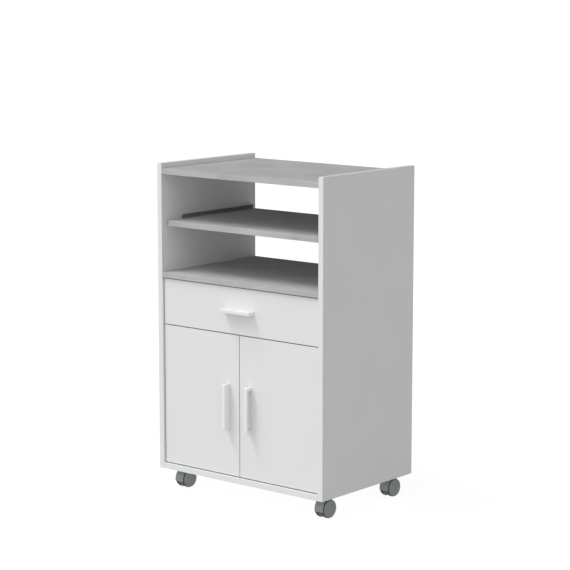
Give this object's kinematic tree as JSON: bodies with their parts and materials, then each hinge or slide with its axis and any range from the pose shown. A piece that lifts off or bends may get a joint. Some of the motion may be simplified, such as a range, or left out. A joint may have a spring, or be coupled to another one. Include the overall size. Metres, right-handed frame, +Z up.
{
  "type": "kitchen appliance cart",
  "caption": "Upright kitchen cart on casters: open top bay with a pull-out tray, a drawer, and a cupboard with a shelf behind a pair of doors.",
  "frame": {"origin": "on the floor, under the middle of the overall width and depth", "axes": "+Z up, +X to the cart's right seen from the front, -Y out of the front with the doors and the drawer"},
  "size_m": [0.59, 0.416, 0.928],
  "materials": {
    "white_board": "smooth satin white melamine on particleboard",
    "grey_board": "matt cement-grey melamine with a fine grain on particleboard",
    "white_hardboard": "thin white-faced hardboard",
    "beech": "plain turned beech",
    "zinc_steel": "bright zinc-plated steel",
    "dark_steel": "dark enamelled sheet steel",
    "white_gloss": "glossy white moulding",
    "white_nylon": "natural nylon",
    "caster_plastic": "greenish grey moulding"
  },
  "bodies": {
    "cart": {"left_side_panel": "white_board", "right_side_panel": "white_board", "top_board": "grey_board", "counter_board": "grey_board", "bottom_panel": "white_board", "back_panel": "white_hardboard", "cupboard_shelf": "white_board", "shelf_pins": "zinc_steel", "cam_locks": "zinc_steel", "cam_bolts": "zinc_steel", "wood_dowels": "beech", "fixing_screws": "zinc_steel", "tray_rail_left": "dark_steel", "tray_rail_right": "dark_steel", "drawer_rail_left": "dark_steel", "drawer_rail_right": "dark_steel", "left_pivots": "zinc_steel", "right_pivots": "zinc_steel", "magnet_catches": "white_nylon", "caster_plates": "zinc_steel"},
    "tray_front_roller_pair": {"tray_front_rollers": "white_nylon"},
    "drawer_front_roller_pair": {"drawer_front_rollers": "white_nylon"},
    "tray": {"tray_board": "grey_board", "tray_runner_left": "dark_steel", "tray_runner_right": "dark_steel", "tray_screws": "zinc_steel"},
    "tray_rear_roller_pair": {"tray_rear_rollers": "white_nylon"},
    "drawer": {"drawer_front": "white_board", "drawer_side_left": "white_board", "drawer_side_right": "white_board", "drawer_back": "white_board", "drawer_bottom": "white_hardboard", "drawer_handle": "white_gloss", "drawer_handle_screws": "zinc_steel", "drawer_runner_left": "dark_steel", "drawer_runner_right": "dark_steel", "drawer_screws": "zinc_steel"},
    "drawer_rear_roller_pair": {"drawer_rear_rollers": "white_nylon"},
    "left_door_leaf": {"left_door": "white_board", "left_handle": "white_gloss", "left_handle_screws": "zinc_steel", "left_pivot_bushes": "white_nylon", "left_strike_plate": "zinc_steel"},
    "right_door_leaf": {"right_door": "white_board", "right_handle": "white_gloss", "right_handle_screws": "zinc_steel", "right_pivot_bushes": "white_nylon", "right_strike_plate": "zinc_steel"},
    "front_left_caster": {"front_left_hood": "caster_plastic", "front_left_axle": "zinc_steel"},
    "front_left_wheel_pair": {"front_left_wheels": "caster_plastic"},
    "front_right_caster": {"front_right_hood": "caster_plastic", "front_right_axle": "zinc_steel"},
    "front_right_wheel_pair": {"front_right_wheels": "caster_plastic"},
    "back_left_caster": {"back_left_hood": "caster_plastic", "back_left_axle": "zinc_steel"},
    "back_left_wheel_pair": {"back_left_wheels": "caster_plastic"},
    "back_right_caster": {"back_right_hood": "caster_plastic", "back_right_axle": "zinc_steel"},
    "back_right_wheel_pair": {"back_right_wheels": "caster_plastic"}
  },
  "joints": [
    {"name": "tray_slide", "type": "slide", "parent": "cart", "child": "tray", "axis": [0, -1, 0], "range_m": [0, 0.225]},
    {"name": "drawer_slide", "type": "slide", "parent": "cart", "child": "drawer", "axis": [0, -1, 0], "range_m": [0, 0.26]},
    {"name": "tray_front_roller_spin", "type": "hinge", "parent": "cart", "child": "tray_front_roller_pair", "pos_m": [0, -0.094, 0.765], "axis": [1, 0, 0], "continuous": true},
    {"name": "tray_rear_roller_spin", "type": "hinge", "parent": "tray", "child": "tray_rear_roller_pair", "pos_m": [0, 0.172, 0.7604], "axis": [1, 0, 0], "continuous": true},
    {"name": "drawer_front_roller_spin", "type": "hinge", "parent": "cart", "child": "drawer_front_roller_pair", "pos_m": [0, -0.154, 0.497], "axis": [1, 0, 0], "continuous": true},
    {"name": "drawer_rear_roller_spin", "type": "hinge", "parent": "drawer", "child": "drawer_rear_roller_pair", "pos_m": [0, 0.168, 0.4924], "axis": [1, 0, 0], "continuous": true},
    {"name": "left_door_hinge", "type": "hinge", "parent": "cart", "child": "left_door_leaf", "pos_m": [-0.2715, -0.1805, 0.081], "axis": [0, 0, -1], "range_deg": [0, 95]},
    {"name": "right_door_hinge", "type": "hinge", "parent": "cart", "child": "right_door_leaf", "pos_m": [0.2715, -0.1805, 0.081], "axis": [0, 0, 1], "range_deg": [0, 95]},
    {"name": "front_left_swivel", "type": "hinge", "parent": "cart", "child": "front_left_caster", "pos_m": [-0.254, -0.137, 0.0595], "axis": [0, 0, 1], "continuous": true},
    {"name": "front_left_wheel_spin", "type": "hinge", "parent": "front_left_caster", "child": "front_left_wheel_pair", "pos_m": [-0.254, -0.127, 0.026], "axis": [1, 0, 0], "continuous": true},
    {"name": "front_right_swivel", "type": "hinge", "parent": "cart", "child": "front_right_caster", "pos_m": [0.254, -0.137, 0.0595], "axis": [0, 0, 1], "continuous": true},
    {"name": "front_right_wheel_spin", "type": "hinge", "parent": "front_right_caster", "child": "front_right_wheel_pair", "pos_m": [0.254, -0.127, 0.026], "axis": [1, 0, 0], "continuous": true},
    {"name": "back_left_swivel", "type": "hinge", "parent": "cart", "child": "back_left_caster", "pos_m": [-0.254, 0.153, 0.0595], "axis": [0, 0, 1], "continuous": true},
    {"name": "back_left_wheel_spin", "type": "hinge", "parent": "back_left_caster", "child": "back_left_wheel_pair", "pos_m": [-0.254, 0.163, 0.026], "axis": [1, 0, 0], "continuous": true},
    {"name": "back_right_swivel", "type": "hinge", "parent": "cart", "child": "back_right_caster", "pos_m": [0.254, 0.153, 0.0595], "axis": [0, 0, 1], "continuous": true},
    {"name": "back_right_wheel_spin", "type": "hinge", "parent": "back_right_caster", "child": "back_right_wheel_pair", "pos_m": [0.254, 0.163, 0.026], "axis": [1, 0, 0], "continuous": true}
  ],
  "couplings": [
    {"joint": "tray_front_roller_spin", "follows": "tray_slide", "rad_per_m": 100},
    {"joint": "tray_rear_roller_spin", "follows": "tray_slide", "rad_per_m": 100},
    {"joint": "drawer_front_roller_spin", "follows": "drawer_slide", "rad_per_m": 100},
    {"joint": "drawer_rear_roller_spin", "follows": "drawer_slide", "rad_per_m": 100}
  ]
}
